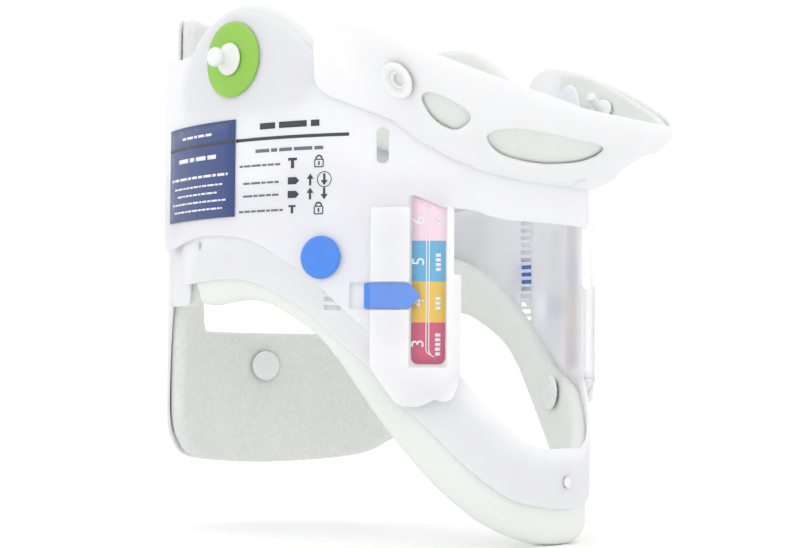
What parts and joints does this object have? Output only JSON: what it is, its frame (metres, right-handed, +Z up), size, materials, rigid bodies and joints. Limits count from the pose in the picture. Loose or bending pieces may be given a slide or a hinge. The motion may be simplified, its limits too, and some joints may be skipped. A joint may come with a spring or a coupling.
{
  "type": "cervical collar",
  "caption": "Height-adjustable rigid neck collar with sliding upper body, chin support, side latches and safety locks, foam liners, hook discs and a swing-open back panel.",
  "frame": {"origin": "on the neck's axis, level with the lowest edge of the front foam rim", "axes": "+Z up along the wearer's neck, -Y towards the wearer's chin, -X towards the wearer's right"},
  "size_m": [0.1592, 0.2217, 0.209],
  "materials": {
    "white_plastic": "moulded polyethylene sheet, satin",
    "band_white": "polyethylene sheet, satin, slightly warmer",
    "clear_plastic": "milky clear sheet, gloss",
    "foam_white": "closed-cell foam, soft matt",
    "foam_grey": "closed-cell foam, fine cells, matt",
    "green_plastic": "moulded, satin",
    "blue_plastic": "moulded, satin",
    "label_blue": "printed film, satin",
    "scale_print": "printed four-colour film, satin",
    "hook_loop_tape": "woven hook-and-loop tape, matt"
  },
  "bodies": {
    "lower_body": {"lower_body_shell": "band_white", "lower_rim_foam": "foam_white", "front_foam_rivet": "white_plastic", "back_fixed_end": "white_plastic", "back_fixed_foam": "foam_grey", "side_foam_rivet_right": "white_plastic", "size_scale_right": "scale_print", "scale_cover_right": "clear_plastic", "side_foam_rivet_left": "white_plastic", "size_scale_left": "scale_print", "scale_cover_left": "clear_plastic"},
    "upper_body": {"upper_body_shell": "white_plastic", "chin_support_shell": "white_plastic", "chin_foam": "foam_white", "loop_patch": "hook_loop_tape", "lobe_foam_right": "foam_white", "sizing_label_right": "label_blue", "hook_disc_right": "green_plastic", "hook_peg_right": "white_plastic", "chin_rivet_right": "white_plastic", "lobe_foam_left": "foam_white", "sizing_label_left": "label_blue", "hook_disc_left": "green_plastic", "hook_peg_left": "white_plastic", "chin_rivet_left": "white_plastic"},
    "latch_right": {"latch_right": "blue_plastic"},
    "latch_left": {"latch_left": "blue_plastic"},
    "safety_lock_right": {"safety_lock_right": "blue_plastic"},
    "safety_lock_left": {"safety_lock_left": "blue_plastic"},
    "back_panel": {"back_panel_shell": "white_plastic", "back_foam": "foam_grey", "back_foam_rivet_low": "white_plastic", "back_foam_rivet_right": "white_plastic", "back_foam_rivet_left": "white_plastic", "closure_strap": "hook_loop_tape", "hook_patch": "hook_loop_tape"}
  },
  "joints": [
    {"name": "height_adjust", "type": "slide", "parent": "lower_body", "child": "upper_body", "axis": [0, 0, 1], "range_m": [-0.015, 0.03]},
    {"name": "latch_right_slide", "type": "hinge", "parent": "upper_body", "child": "latch_right", "pos_m": [0.04774, 0.01647, 0.0897], "axis": [0, 0, -1], "range_deg": [0, 2.74]},
    {"name": "safety_lock_right_pull", "type": "slide", "parent": "upper_body", "child": "safety_lock_right", "axis": [-0.9685, -0.2491, 0], "range_m": [0, 0.0035]},
    {"name": "latch_left_slide", "type": "hinge", "parent": "upper_body", "child": "latch_left", "pos_m": [-0.04774, 0.01647, 0.0897], "axis": [0, 0, 1], "range_deg": [0, 2.74]},
    {"name": "safety_lock_left_pull", "type": "slide", "parent": "upper_body", "child": "safety_lock_left", "axis": [0.9685, -0.2491, 0], "range_m": [0, 0.0035]},
    {"name": "back_panel_bend", "type": "hinge", "parent": "lower_body", "child": "back_panel", "pos_m": [-0.04539, 0.08117, 0.114], "axis": [0, 0, 1], "range_deg": [0, 80]}
  ]
}
